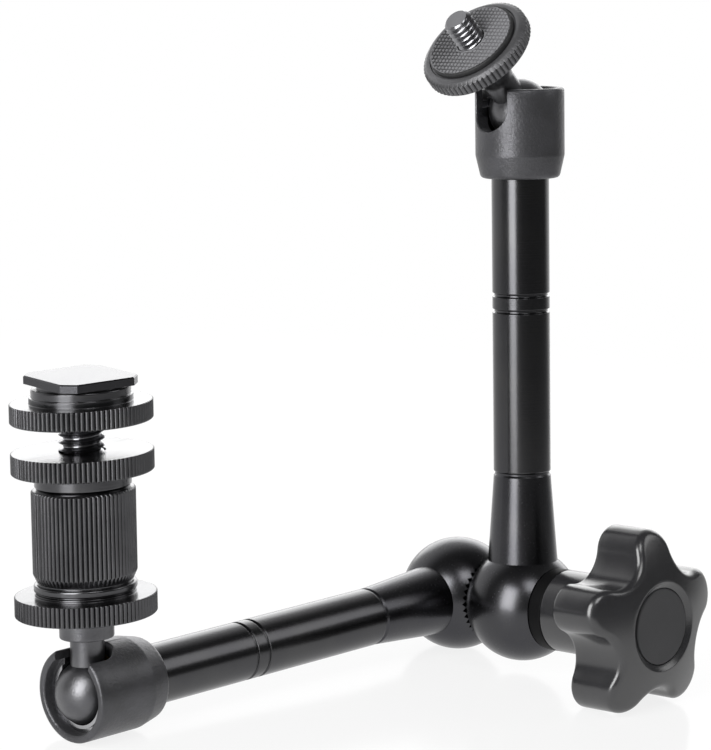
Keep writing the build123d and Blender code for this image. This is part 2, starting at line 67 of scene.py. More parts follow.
# Elbow and arms
KNUCKLE_OFFSET = 9.8
TUBE_R, TUBE_BORE_R = 6.3, 4.4
SEAM_AT, SEAM_DEPTH = 29.8, 0.3
GROOVES_AT, GROOVE_WIDTH, GROOVE_DEPTH = (65.6, 69.1), 0.9, 0.45
COLLAR_R, COLLAR_FROM, HUB_FROM = 9.0, 18.8, 22.4
NOSE_HOLE_R = 4.06

# Ball sockets. The CAD's balls have a radius of 6.9. The smaller one here keeps the lower ball, which is out of
# round by 0.16 (see frame_at), off its clamped seat.
BALL_R, CAVITY_R, SOCKET_R, SOCKET_REAR_R = 6.84, 7.0, 9.75, 8.6
SOCKET_TAPER, RING_R, RIM_CHAMFER = 5.0, 8.1, 0.5
SLOT_WIDTH, SLOT_DEPTH, SLOT_EDGE = 10.0, 9.3, 0.25
RING_FROM_RIM, BEND_ROWS, RING_ROWS = 2.5, 15, 3
REAR_SOFT, TAPER_SOFT, TUBE_GAP = 0.9, 0.3, 0.02
CHAMBER_DEPTH, ROD_HOLE_R = 14.3, 2.2
SOCKET_LENGTH, TUBE_GRIP = 19.6, 3.6
LOWER_RIM, UPPER_RIM = 116.35, 114.3

# Knob
LOBES, TIP_R, VALLEY_R, LOBE_R = 5, 20.75, 13.8, 5.2
HUB_R, KNOB_REAR, KNOB_FRONT, DOME_HEIGHT = 9.0, 35.4, 46.4, 4.4
FRONT_FILLET, REAR_FILLET = 1.5, 1.0
BEVEL_R, BEVEL_DEPTH, RECESS_R = 9.7, 0.75, 8.4
CAP_R, CAP_SINK, CAP_THICKNESS = 8.25, 0.5, 1.4
INSERT_R, INSERT_END, CAP_CLEARANCE = 5.5, 36.4, 0.2

# Lower head, heights above the ball's centre
WHEEL_R, WHEEL_TEETH, KNURL, WHEEL_EDGE, WHEEL_FOOT = 14.5, 88, 0.42, 0.15, 0.3
PROUD = 0.01  # how far an outline stands outside the ridges that cut it
BARREL_R, BARREL_TEETH, BARREL_FOOT_R, BARREL_TOP_R = 10.6, 66, 9.8, 10.18
LOCK_NECK_R, LOCK_GROOVE_R, LOCK_HUB_R, PILOT_R = 10.3, 9.9, 10.5, 9.5
MIDDLE_HUB_R, SHOE_HUB_R, SHOE_STEP_R, SHOE_NECK_R = 9.85, 10.55, 10.1, 8.9
SHANK_FROM, BORE_FIT = 6.0, 0.05
SHANK_R, SHANK_TOP, STUD_COLLAR_R, STUD_TOP = 3.5, 11.6, 5.6, 32.8
QUARTER_R, QUARTER_PITCH = 3.175, 1.27
POST_R, POST_PITCH = 4.7625, 1.5875
LOCK_FROM, LOCK_TO, BARREL_FROM, BARREL_TO = 16.5, 20.8, 23.6, 42.6
MIDDLE_FROM, MIDDLE_TO, SHOE_FROM, SHOE_TO, FOOT_FROM = 45.9, 50.2, 56.3, 60.3, 63.9
POST_FROM = 33.2
THREAD_DEPTH, CREST_SHARE, FLANK_SHARE = 0.6, 0.12, 0.7  # of the pitch, and of half a pitch

# Upper head, heights above the ball's centre
NECK_TOP, FLARE_R, FLARE_TOP, FLARE_END = 10.5, 6.6, 16.3, 18.1
SCREW_WHEEL_R, SCREW_WHEEL_TEETH, SCREW_WHEEL_TO = 12.6, 66, 21.7
PAD_R, PAD_HOLE_R, PAD_TOP, PAD_PITCH, PAD_RELIEF, SCREW_TOP = 10.1, 3.35, 22.6, 1.0, 0.3, 29.1


# ---- Frames on the object, read from the joints ----
joints = {j["name"]: j for j in frame["joints"]}


def unit(v):
    """The vector at length one."""
    v = np.array(v, float)
    return v / np.linalg.norm(v)


def frame_at(origin, z, y):
    """A frame on the object: its origin in metres and its three axes as columns. Known fault: y isn't squared
    to z. It is 2.3 degrees out in STACK and 0.7 in HEAD, which shears the pieces of both heads by as much."""
    z, y = unit(z), unit(y)
    return np.array(origin, float), np.stack([np.cross(y, z), y, z], 1)


inwards = unit(joints["elbow"]["axis"])
elbow_at = np.array(joints["elbow"]["pos_m"], float)
lower_ball_at = joints["lower_ball_tilt"]["pos_m"]
upper_ball_at = joints["upper_ball_tilt"]["pos_m"]
upright = unit(np.array([0, 0, 1]) - inwards[2] * inwards)
LOWER = frame_at(elbow_at + inwards * KNUCKLE_OFFSET * MM, joints["lower_rod_slide"]["axis"], inwards)
UPPER = frame_at(elbow_at - inwards * KNUCKLE_OFFSET * MM, joints["upper_rod_slide"]["axis"], -inwards)
STACK = frame_at(lower_ball_at, joints["lock_wheel_turn"]["axis"], inwards)
HEAD = frame_at(upper_ball_at, joints["screw_wheel_turn"]["axis"], -inwards)
KNOB = frame_at(elbow_at, -inwards, np.cross(-inwards, upright))
LOWER_CUP = frame_at(LOWER[0], joints["lower_rod_slide"]["axis"], -np.array(joints["lower_ball_tilt"]["axis"]))
UPPER_CUP = frame_at(UPPER[0], joints["upper_rod_slide"]["axis"], joints["upper_ball_tilt"]["axis"])


# ---- Surfaces ----
def rounded(corners, steps=5):
    """Outline in (radius, height) whose corners, each (r, z, fillet), are rounded by a curve tangent to both
    sides: T1 (1-s)^2 + 2 P s (1-s) + T2 s^2 from s = 0 to 1, with a support point just before and after."""
    points = np.array([c[:2] for c in corners], float)
    fillets = [c[2] if len(c) > 2 else 0 for c in corners]
    outline = []
    for i, fillet in enumerate(fillets):
        here = points[i]
        if not fillet:
            outline.append(here[None])
            continue
        back = points[i - 1] - here
        ahead = points[(i + 1) % len(points)] - here
        reach = min(fillet, 0.45 * np.linalg.norm(back), 0.45 * np.linalg.norm(ahead))
        start, end = here + unit(back) * reach, here + unit(ahead) * reach
        s = np.linspace(0, 1, steps + 1)[:, None]
        arc = start * (1 - s) ** 2 + 2 * here * s * (1 - s) + end * s ** 2
        outline += [(start + unit(back) * reach * 0.1)[None], arc, (end + unit(ahead) * reach * 0.1)[None]]
    return np.concatenate(outline)


def turned(outline, columns=96, ridges=0, depth=0.0, rim=0.0):
    """Surface of revolution (r cos a, r sin a, z). With ridges, r is at most rim less depth times a row of V
    grooves with rounded crests: 1 - |cos(ridges a / 2)| ^ 0.8."""
    a = np.arange(columns) / columns * TURN
    r = np.repeat(outline[:, :1], columns, 1)
    if ridges:
        groove = 1 - np.abs(np.cos(ridges * a / 2)) ** 0.8
        r = np.minimum(r, (rim - depth * groove)[None, :] + 0 * r)
    z = np.repeat(outline[:, 1:], columns, 1)
    return np.stack([r * np.cos(a), r * np.sin(a), z], 2)


def thread(radius, pitch, low, high, chamfer_low, chamfer_high, columns=64, rows_per_turn=10):
    """Right-hand screw thread. Row k at angle a is at z = pitch (k / rows + a / turn), clipped to the ends,
    so crests run along rows; r = radius - depth * V(k), cut by the chamfer cones."""
    a = np.linspace(0, TURN, columns + 1)
    turns = int((high - low) / pitch) + 3
    k = np.arange(turns * rows_per_turn + 1) / rows_per_turn
    z = low - 2 * pitch + pitch * (k[:, None] + a[None, :] / TURN)
    depth = THREAD_DEPTH * pitch
    v = np.abs((k % 1.0) * 2 - 1)
    cut = np.clip((v - CREST_SHARE) / FLANK_SHARE, 0, 1)
    r = radius - depth * cut[:, None] + 0 * z
    r = np.minimum(r, radius - chamfer_high + np.maximum(high - z, 0))
    r = np.minimum(r, radius - chamfer_low + np.maximum(z - low, 0))
    z = np.clip(z, low, high)
    body = np.stack([r * np.cos(a), r * np.sin(a), z], 2)
    first, last = body[:1].copy(), body[-1:].copy()
    first[..., :2] = 0
    last[..., :2] = 0
    return np.concatenate([first, body, last])


def quads(rows, columns, wrap_rows, wrap_columns, start):
    """Corner numbers of the quads of a rows x columns grid of points whose first number is start."""
    i = np.arange(rows if wrap_rows else rows - 1)[:, None]
    j = np.arange(columns if wrap_columns else columns - 1)[None, :]
    i2, j2 = (i + 1) % rows, (j + 1) % columns
    corners = [i * columns + j, i * columns + j2, i2 * columns + j2, i2 * columns + j]
    return np.stack([c + 0 * (i + j) for c in corners], 2).reshape(-1, 4) + start


def piece(name, shells, at, body, material, stands_for=(), sharp=40, marks=None):
    """Makes one mesh of several grids, each (points, wrap rows, wrap columns), in the frame at, and hands it
    to its body. marks gives named numbers per point, worked out from local millimetres."""
    points, faces, start = [], [], 0
    for grid, wrap_rows, wrap_columns in shells:
        rows, columns = grid.shape[:2]
        points.append(grid.reshape(-1, 3))
        faces.append(quads(rows, columns, wrap_rows, wrap_columns, start))
        start += rows * columns
    origin, axes = at
    places = origin + np.concatenate(points) @ axes.T * MM
    mesh = bpy.data.meshes.new(name)
    mesh.from_pydata(places.tolist(), [], np.concatenate(faces).tolist())
    work = bmesh.new()
    work.from_mesh(mesh)
    bmesh.ops.remove_doubles(work, verts=work.verts, dist=2e-7)
    bmesh.ops.dissolve_degenerate(work, edges=work.edges, dist=1e-8)
    bmesh.ops.recalc_face_normals(work, faces=work.faces)
    work.to_mesh(mesh)
    work.free()
    mesh.polygons.foreach_set("use_smooth", np.ones(len(mesh.polygons), bool))
    mesh.set_sharp_from_angle(angle=np.radians(sharp))
    flat = np.zeros(len(mesh.vertices) * 3)
    mesh.vertices.foreach_get("co", flat)
    local = (flat.reshape(-1, 3) - origin) @ axes / MM
    for key, rule in (marks or {}).items():
        mesh.attributes.new(key, "FLOAT", "POINT").data.foreach_set("value", rule(local).astype(np.float32))
    thing = bpy.data.objects.new(name, mesh)
    bpy.context.scene.collection.objects.link(thing)
    mesh.materials.append(material)
    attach(thing, body)
    if stands_for:
        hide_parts(*stands_for)
    return thing


def out_from_axis(local):
    """Distance from the piece's own axis, in mm."""
    return np.hypot(local[:, 0], local[:, 1])


def height(local):
    """Height along the piece's own axis, in mm."""
    return local[:, 2]


def lobe_outline(a, inset):
    """Knob's plan at polar angle a, moved in by inset: lobe arcs and valley arcs that share tangents. With the
    arc's centre at distance c and angle b from a, r = c cos b +- sqrt(R^2 - c^2 sin^2 b)."""
    half = np.pi / LOBES
    tip_c = TIP_R - LOBE_R
    k = np.cos(half)
    valley_arc = ((tip_c ** 2 + VALLEY_R ** 2 - 2 * tip_c * VALLEY_R * k - LOBE_R ** 2)
                  / (2 * (LOBE_R - VALLEY_R + tip_c * k)))
    valley_c = VALLEY_R + valley_arc
    tip, valley = np.array([tip_c, 0]), valley_c * np.array([np.cos(half), np.sin(half)])
    joint = tip + (valley - tip) * (LOBE_R - inset) / (LOBE_R + valley_arc)
    off = np.abs((a + half) % (2 * half) - half)
    on_tip = off < np.arctan2(joint[1], joint[0])
    with np.errstate(invalid="ignore"):
        tip_r = tip_c * np.cos(off) + np.sqrt((LOBE_R - inset) ** 2 - (tip_c * np.sin(off)) ** 2)
        other = half - off
        valley_r = valley_c * np.cos(other) - np.sqrt((valley_arc + inset) ** 2
                                                      - (valley_c * np.sin(other)) ** 2)
    return np.where(on_tip, tip_r, valley_r)


def dome(r):
    """Height of the knob's spherical face at radius r."""
    radius = (TIP_R ** 2 + DOME_HEIGHT ** 2) / (2 * DOME_HEIGHT)
    return KNOB_FRONT + DOME_HEIGHT - radius + np.sqrt(radius ** 2 - r ** 2)


def knob_surface(columns=300):
    """Sections from the recess over the domed face, the front fillet, the side and the rear fillet to the hub.
    A section is the plan at an inset, blended to circles: r = (1 - w) plan + w circle."""
    a = np.arange(columns) / columns * TURN
    rim = dome(BEVEL_R)
    floor = rim - CAP_SINK - CAP_THICKNESS - CAP_CLEARANCE

    def ring(r, z):
        """One section's radius and height at every angle."""
        return np.stack([r + 0 * a, z + 0 * a], 1)

    rows = [ring(0, floor), ring(RECESS_R, floor), ring(RECESS_R, rim - BEVEL_DEPTH),
            ring(RECESS_R + 0.1, rim - BEVEL_DEPTH + 0.02), ring(BEVEL_R - 0.15, rim - 0.12),
            ring(BEVEL_R - 0.04, rim - 0.03), ring(BEVEL_R + 0.08, dome(BEVEL_R + 0.08))]
    edge = lobe_outline(a, FRONT_FILLET)
    for w in np.linspace(0, 1, 14)[1:]:
        r = (1 - w) * (BEVEL_R + 0.15) + w * edge
        rows.append(np.stack([r, dome(r)], 1))
    for t in np.linspace(0, np.pi / 2, 9)[1:]:
        r = lobe_outline(a, FRONT_FILLET * (1 - np.sin(t)))
        rows.append(np.stack([r, dome(r) - FRONT_FILLET * (1 - np.cos(t))], 1))
    plan = lobe_outline(a, 0)
    for w in np.linspace(0, 1, 5)[1:]:
        top = dome(plan) - FRONT_FILLET
        rows.append(np.stack([plan, (1 - w) * top + w * (KNOB_REAR + REAR_FILLET)], 1))
    for t in np.linspace(0, np.pi / 2, 6)[1:]:
        r = lobe_outline(a, REAR_FILLET * (1 - np.cos(t)))
        rows.append(ring(r, KNOB_REAR + REAR_FILLET * (1 - np.sin(t))))
    back = lobe_outline(a, REAR_FILLET)
    for w in np.linspace(0, 1, 6)[1:]:
        rows.append(np.stack([(1 - w) * back + w * (HUB_R + 0.7), KNOB_REAR + 0 * a], 1))
    hub = rounded([(HUB_R + 0.8, KNOB_REAR), (HUB_R, KNOB_REAR, 0.6), (HUB_R, HUB_FROM, 0.35),
                   (INSERT_R, HUB_FROM), (INSERT_R, INSERT_END), (0, INSERT_END)])
    rows += [ring(r, z) for r, z in hub[1:]]
    rz = np.stack(rows)
    return np.stack([rz[..., 0] * np.cos(a), rz[..., 0] * np.sin(a), rz[..., 1]], 2)


def socket_shells(rim, columns=120):
    """Cup with a U slot. Rows go up the outer wall, over the rim and down inside; at each row the angle runs
    from one side of the slot to the other, a = s + u (turn - 2 s) with sin s = half width / r. The slot's
    walls are ruled between the outer edge, its small chamfer and the inner edge."""
    bottom = rim - SOCKET_LENGTH
    half = SLOT_WIDTH / 2
    middle = rim - SLOT_DEPTH + half
    bend = np.linspace(0, np.pi / 2, BEND_ROWS)
    soft = 0.3 * RIM_CHAMFER
    rise = np.array([middle, rim - RING_FROM_RIM, rim - RIM_CHAMFER, rim - soft, rim])
    inner_r = np.concatenate([np.full(BEND_ROWS, CAVITY_R), [RING_R] * RING_ROWS,
                              [RING_R + soft, RING_R + RIM_CHAMFER]])
    outer_r = np.concatenate([np.full(BEND_ROWS + RING_ROWS, SOCKET_R),
                              [SOCKET_R - soft, SOCKET_R - RIM_CHAMFER]])

    def edge(width):
        """Half width and height of the slot's edge at that arc radius, from the bottom up."""
        y = np.concatenate([width * np.sin(bend), np.full(len(rise), width)])
        z = np.concatenate([middle - width * np.cos(bend), rise])
        return y, z

    outer_y, outer_z = edge(half + SLOT_EDGE)
    inner_y, inner_z = edge(half)
    tube_hole = TUBE_R + TUBE_GAP
    below = rounded([(tube_hole, bottom), (SOCKET_REAR_R, bottom, REAR_SOFT),
                     (SOCKET_R, bottom + SOCKET_TAPER, TAPER_SOFT), (SOCKET_R, outer_z[0])])
    inside = np.array([(CAVITY_R, rim - CHAMBER_DEPTH), (ROD_HOLE_R, rim - CHAMBER_DEPTH),
                       (ROD_HOLE_R, bottom + TUBE_GRIP), (tube_hole, bottom + TUBE_GRIP)])
    r = np.concatenate([below[:-1, 0], outer_r, inner_r[::-1], inside[:, 0]])
    z = np.concatenate([below[:-1, 1], outer_z, inner_z[::-1], inside[:, 1]])
    y = np.concatenate([0 * below[:-1, 0], outer_y, inner_y[::-1], 0 * inside[:, 0]])
    s = np.arcsin(y / r)[:, None]
    u = np.linspace(0, 1, columns + 1)[None, :]
    a = s + u * (TURN - 2 * s)
    wall = np.stack([r[:, None] * np.cos(a), r[:, None] * np.sin(a), z[:, None] + 0 * a], 2)
    shells = [(wall, True, False)]
    for side in (1, -1):
        strip = []
        for rr, yy, zz in ((outer_r, outer_y, outer_z), (outer_r - SLOT_EDGE, inner_y, inner_z),
                           (inner_r, inner_y, inner_z)):
            strip.append(np.stack([np.sqrt(rr ** 2 - yy ** 2), side * yy, zz], 1))
        shells.append((np.stack(strip, 1), False, False))
    return shells


def ball(low, steps=40):
    """Ball outline from its lowest point to where the shank leaves it."""
    t = np.linspace(-np.pi / 2, np.arccos(SHANK_R / BALL_R), steps)
    return np.stack([BALL_R * np.cos(t), BALL_R * np.sin(t)], 1) + np.array([0, low])


def pad_surface(columns=560, rows=62):
    """Ring-shaped pad whose top is a grid of raised squares: height = depth * min of two square waves with
    soft sides, along and across, in millimetres, fading out at both edges."""
    a = np.arange(columns) / columns * TURN
    r = np.linspace(PAD_HOLE_R, PAD_R - 0.25, rows)[:, None]
    x, y = r * np.cos(a), r * np.sin(a)

    def wave(q):
        return np.clip(0.5 + 1.8 * (np.abs((q / PAD_PITCH) % 1.0 - 0.5) * 2 - 0.25), 0, 1)

    fade = np.clip((PAD_R - 0.45 - r) / 0.2, 0, 1) * np.clip((r - PAD_HOLE_R - 0.1) / 0.2, 0, 1)
    raised = PAD_RELIEF * (1 - np.minimum(wave(x), wave(y))) * fade
    top = np.stack([x, y, PAD_TOP - raised], 2)
    rim = np.stack([np.stack([q * np.cos(a), q * np.sin(a), z + 0 * a], 1) for q, z in (
        (PAD_R - 0.1, PAD_TOP - 0.04), (PAD_R, PAD_TOP - 0.2), (PAD_R, SCREW_WHEEL_TO - 0.35),
        (PAD_HOLE_R, SCREW_WHEEL_TO - 0.35))])
    return np.concatenate([top, rim])


# ---- Materials ----
def linear(code):
    """Linear colour of an sRGB hex code."""
    c = np.array([int(code[i:i + 2], 16) for i in (1, 3, 5)]) / 255
    c = np.where(c <= 0.04045, c / 12.92, ((c + 0.055) / 1.055) ** 2.4)
    return (*c.tolist(), 1.0)


def add(tree, kind, settings, links=()):
    """Adds a node, sets its inputs or properties, and links inputs to the given sockets."""
    node = tree.nodes.new(kind)
    for key, value in settings.items():
        if isinstance(key, int) or key in node.inputs:
            node.inputs[key].default_value = value
        else:
            setattr(node, key, value)
    for key, socket in dict(links).items():
        tree.links.new(socket, node.inputs[key])
    return node


def finish(name, dark, light, rough, grain_mm, bump, metallic=1.0, lines_mm=0.0, lines=0.0, mark="",
           marked="", amount=0.0, ior=None):
    """Surface of one material: its colour goes from dark to light and its roughness from rough[0] to rough[1]
    with a slow mottle, a fine grain of that size in mm is its bump, lines_mm apart are the tool's rings along
    the axis and across the faces, and where the piece's own number called mark is 1 the colour is marked:
    this paints shade into knurl roots and a highlight onto the pad's raised squares."""
    made = bpy.data.materials.new(name)
    made.use_nodes = True
    tree = made.node_tree
    tree.nodes.clear()
    where = add(tree, "ShaderNodeTexCoord", {}).outputs["Object"]
    mottle = add(tree, "ShaderNodeTexNoise", {"Scale": 1 / (9 * MM), "Detail": 3.0}, {"Vector": where})
    grain = add(tree, "ShaderNodeTexNoise", {"Scale": 1 / (grain_mm * MM), "Detail": 4.0, "Roughness": 0.6},
                {"Vector": where})
    spread = add(tree, "ShaderNodeMapRange", {"From Min": 0.35, "From Max": 0.65},
                 {"Value": mottle.outputs["Fac"]})
    colour = add(tree, "ShaderNodeMix", {"data_type": "RGBA", 6: linear(dark), 7: linear(light)},
                 {0: spread.outputs["Result"]}).outputs[2]
    relief = grain.outputs["Fac"]
    if lines:
        along = add(tree, "ShaderNodeAttribute", {"attribute_name": "along"}).outputs["Fac"]
        out = add(tree, "ShaderNodeAttribute", {"attribute_name": "out"}).outputs["Fac"]
        place = add(tree, "ShaderNodeMath", {"operation": "ADD"}, {0: along, 1: out}).outputs[0]
        ring = add(tree, "ShaderNodeTexNoise", {"noise_dimensions": "1D", "Scale": 1 / lines_mm, "Detail": 2.0},
                   {"W": place}).outputs["Fac"]
        relief = add(tree, "ShaderNodeMix", {"data_type": "FLOAT", 0: lines}, {2: relief, 3: ring}).outputs[0]
    if mark:
        there = add(tree, "ShaderNodeAttribute", {"attribute_name": mark}).outputs["Fac"]
        there = add(tree, "ShaderNodeMath", {"operation": "MULTIPLY", 1: amount}, {0: there}).outputs[0]
        colour = add(tree, "ShaderNodeMix", {"data_type": "RGBA", 7: linear(marked)},
                     {0: there, 6: colour}).outputs[2]
    roughness = add(tree, "ShaderNodeMapRange", {"To Min": rough[0], "To Max": rough[1]},
                    {"Value": grain.outputs["Fac"]}).outputs["Result"]
    normal = add(tree, "ShaderNodeBump", {"Strength": bump, "Distance": grain_mm * MM * 0.3},
                 {"Height": relief}).outputs["Normal"]
    shader = add(tree, "ShaderNodeBsdfPrincipled", {"Metallic": metallic},
                 {"Base Color": colour, "Roughness": roughness, "Normal": normal})
    if ior is not None:
        shader.inputs["IOR"].default_value = ior
    add(tree, "ShaderNodeOutputMaterial", {}, {"Surface": shader.outputs[0]})
    return made


# Turned aluminium, anodised satin black: a dark dyed oxide whose edges flash and whose sides mirror softly.
tube_anodised = finish("turned_black_anodised_aluminium", "#4a4a4c", "#4e4e4f", (0.18, 0.26), 0.4, 0.08,
                       lines_mm=0.3, lines=0.4)
# Same alloy, bead-blasted before anodising: a wider, greyer sheen with a fine sparkle. Metallic under 1, here and
# on the upper wheel, is fitted to the photo.
cup_anodised = finish("bead_blasted_black_anodised_aluminium", "#4c4c4e", "#57575a", (0.33, 0.43), 0.6, 0.5,
                      metallic=0.72)
# Turned ball ends of the elbow, anodised: near-black with two soft lights.
knuckle_anodised = finish("satin_black_anodised_aluminium", "#48484b", "#4d4d4f", (0.22, 0.3), 0.4, 0.08)
# Straight-knurled and anodised: bright crests over roots painted near-black as shade, and turned faces beside them.
knurl_anodised = finish("knurled_black_anodised_aluminium", "#525254", "#5c5c5e", (0.18, 0.27), 0.4, 0.12,
                        lines_mm=0.35, lines=0.4, mark="knurl_root_shade", marked="#0c0c0d", amount=0.8)
# The upper wheel is blasted after knurling: a grey, even sheen, with its roots painted dark as shade.
wheel_blasted = finish("blasted_knurled_aluminium", "#5d5d5f", "#6a6a6c", (0.36, 0.46), 0.6, 0.3,
                       metallic=0.55, mark="knurl_root_shade", marked="#0c0c0d", amount=0.85)
# Blasted steel with a dark oxide: a soft wide light on the ball and a long one on the shank.
ball_steel = finish("dark_blasted_steel", "#5e5e61", "#6f6f71", (0.33, 0.43), 0.5, 0.4,
                    lines_mm=0.4, lines=0.3)
# Rolled steel thread with thin black oxide: bright flanks and a bright tip.
screw_steel = finish("black_oxide_steel", "#808083", "#919194", (0.18, 0.28), 0.4, 0.08)
# Bright turned steel of the split rings and the clamping rods.
ring_steel = finish("bright_turned_steel", "#a4a4a6", "#b4b4b6", (0.16, 0.26), 0.5, 0.04)
# Free-cutting brass, turned.
seat_brass = finish("turned_brass", "#b08d4a", "#c09c58", (0.25, 0.35), 0.5, 0.05)
# Moulded ABS with a fine spark-eroded texture: near-black, with a clear gloss at its edges. The index is fitted to
# the photo's gloss and is above that of ABS, about 1.54.
knob_abs = finish("moulded_black_abs", "#242426", "#29292b", (0.2, 0.28), 0.35, 0.1, metallic=0.0, ior=1.75)
# Moulded ABS cap, duller than the knob.
cap_abs = finish("smooth_moulded_abs", "#353537", "#38383a", (0.42, 0.5), 0.3, 0.05, metallic=0.0, ior=1.45)
# Turned acetal washer: plain black. The index is fitted to the photo and is below that of acetal, about 1.48.
collar_acetal = finish("turned_black_acetal", "#0b0b0c", "#0f0f10", (0.5, 0.6), 0.5, 0.05, metallic=0.0,
                       ior=1.2)
# Moulded rubber: matt black, with a painted highlight in light grey on its raised squares.
pad_rubber = finish("moulded_rubber", "#1c1c1d", "#232324", (0.5, 0.62), 0.3, 0.2, metallic=0.0, ior=1.5,
                    mark="crest_highlight", marked="#858588", amount=0.9)

for node, material in {
    "lower_knuckle": knuckle_anodised, "upper_knuckle": knuckle_anodised,
    "lower_retaining_ring": ring_steel, "upper_retaining_ring": ring_steel,
    "lower_ball_seat": seat_brass, "upper_ball_seat": seat_brass, "knob_insert": seat_brass,
    "lower_push_rod": ring_steel, "upper_push_rod": ring_steel, "clamp_bolt": ring_steel,
    "lower_wedge": ring_steel, "upper_wedge": ring_steel, "release_spring": ring_steel,
    "shoe_foot": knuckle_anodised,
}.items():
    carried = frame["nodes"][node]
    carried.data.materials.clear()
    carried.data.materials.append(material)

# ---- Pieces ----
rings = {"along": height, "out": out_from_axis}


def tube_outline(rim):
    """Tube wall from the knuckle's shoulder into the cup, with a seam chamfer and two ring grooves."""
    end = rim - SOCKET_LENGTH + TUBE_GRIP
    corners = [(TUBE_BORE_R, SEAM_AT), (TUBE_R - SEAM_DEPTH, SEAM_AT), (TUBE_R, SEAM_AT + SEAM_DEPTH, 0.12)]
    for s in GROOVES_AT:
        corners += [(TUBE_R, s - GROOVE_WIDTH / 2, 0.1), (TUBE_R - GROOVE_DEPTH, s - GROOVE_WIDTH / 4, 0.1),
                    (TUBE_R - GROOVE_DEPTH, s + GROOVE_WIDTH / 4, 0.1), (TUBE_R, s + GROOVE_WIDTH / 2, 0.1)]
    return rounded(corners + [(TUBE_R, end), (TUBE_BORE_R, end)], 3)


def knurled_wheel(name, corners, teeth, rim, body, stands_for, at=STACK, material=knurl_anodised):
    """A ring with V ridges round its rim; its mark for painted shade is 1 in the roots and 0 on crests and faces."""
    def knurl_root_shade(local):
        """Share of the knurl's depth at each point, and 0 inside the knurl; it sets how dark the roots are painted
        as shade.
        """
        share = (rim - out_from_axis(local)) / KNURL
        return np.where(share < 1.02, np.clip(share, 0, 1), 0)

    surface = turned(rounded(corners, 4), teeth * 8, teeth, KNURL, rim)
    return piece(name, [(surface, True, True)], at, body, material, (stands_for,), 50,
                 {**rings, "knurl_root_shade": knurl_root_shade})


def wheel_rim(low, high):
    """Corners of a large wheel's rim, from its foot bevel to its top edge."""
    return [(WHEEL_R - WHEEL_FOOT, low, 0.1), (WHEEL_R + PROUD, low + WHEEL_FOOT, 0.1),
            (WHEEL_R + PROUD, high - WHEEL_EDGE, 0.06), (WHEEL_R - WHEEL_EDGE, high, 0.06)]


piece("lower_tube_skin", [(turned(tube_outline(LOWER_RIM)), True, True)], LOWER,
      "lower_arm", tube_anodised, ("lower_tube",), 45, rings)
piece("upper_tube_skin", [(turned(tube_outline(UPPER_RIM)), True, True)], UPPER,
      "upper_arm", tube_anodised, ("upper_tube",), 45, rings)
piece("lower_cup", socket_shells(LOWER_RIM), LOWER_CUP, "lower_arm",
      cup_anodised, ("lower_socket",), 48)
piece("upper_cup", socket_shells(UPPER_RIM), UPPER_CUP, "upper_arm",
      cup_anodised, ("upper_socket",), 48)

piece("knob_body", [(knob_surface(), False, True)], KNOB, "knob", knob_abs, ("knob",), 50)
cap_face = dome(BEVEL_R) - CAP_SINK
piece("knob_disc", [(turned(rounded([(0, cap_face - CAP_THICKNESS), (CAP_R, cap_face - CAP_THICKNESS),
                                     (CAP_R, cap_face, 0.35), (0, cap_face)])), False, True)],
      KNOB, "knob", cap_abs, ("knob_cap",), 50)
piece("thrust_collar", [(turned(rounded([(NOSE_HOLE_R, COLLAR_FROM), (COLLAR_R - 0.5, COLLAR_FROM),
                                         (COLLAR_R, COLLAR_FROM + 0.5, 0.2), (COLLAR_R, HUB_FROM, 0.3),
                                         (NOSE_HOLE_R, HUB_FROM)])), True, True)],
      KNOB, "upper_arm", collar_acetal, ("clamp_collar",), 45, rings)

stud = np.concatenate([ball(0), rounded([
    (SHANK_R, SHANK_FROM), (SHANK_R, SHANK_TOP), (STUD_COLLAR_R, SHANK_TOP, 0.35), (STUD_COLLAR_R, LOCK_FROM),
    (QUARTER_R, LOCK_FROM), (QUARTER_R, STUD_TOP), (0, STUD_TOP)])])
piece("lower_ball_and_shank", [(turned(stud), False, True)], STACK, "lower_ball", ball_steel,
      ("lower_ball_stud",), 40, rings)

bore, post_bore = QUARTER_R + BORE_FIT, POST_R + BORE_FIT
hub_top = BARREL_FROM - 0.4
knurled_wheel("lock_wheel_rim", [
    (bore, LOCK_FROM), *wheel_rim(LOCK_FROM, LOCK_TO), (LOCK_NECK_R, LOCK_TO, 0.12),
    (LOCK_NECK_R, LOCK_TO + 0.55, 0.1), (LOCK_GROOVE_R, LOCK_TO + 0.67, 0.08), (LOCK_GROOVE_R, LOCK_TO + 0.93, 0.08),
    (LOCK_HUB_R, LOCK_TO + 1.05, 0.15), (LOCK_HUB_R, hub_top, 0.7), (PILOT_R, hub_top, 0.1),
    (PILOT_R, BARREL_FROM), (bore, BARREL_FROM)], WHEEL_TEETH, WHEEL_R, "lock_wheel", "lock_wheel")
knurled_wheel("barrel_grip", [
    (bore, BARREL_FROM), (BARREL_FOOT_R, BARREL_FROM, 0.1), (BARREL_R + PROUD, BARREL_FROM + 1.8, 0.2),
    (BARREL_R + PROUD, BARREL_TO - 0.42, 0.1), (BARREL_TOP_R, BARREL_TO, 0.12), (bore, BARREL_TO)],
    BARREL_TEETH, BARREL_R, "knurled_barrel", "knurled_barrel")
knurled_wheel("middle_wheel_rim", [
    (post_bore, BARREL_TO), (PILOT_R, BARREL_TO), (PILOT_R, BARREL_TO + 0.35), (MIDDLE_HUB_R, BARREL_TO + 0.7, 0.1),
    (MIDDLE_HUB_R, MIDDLE_FROM, 0.12), *wheel_rim(MIDDLE_FROM, MIDDLE_TO), (post_bore, MIDDLE_TO)],
    WHEEL_TEETH, WHEEL_R, "middle_wheel", "middle_wheel")
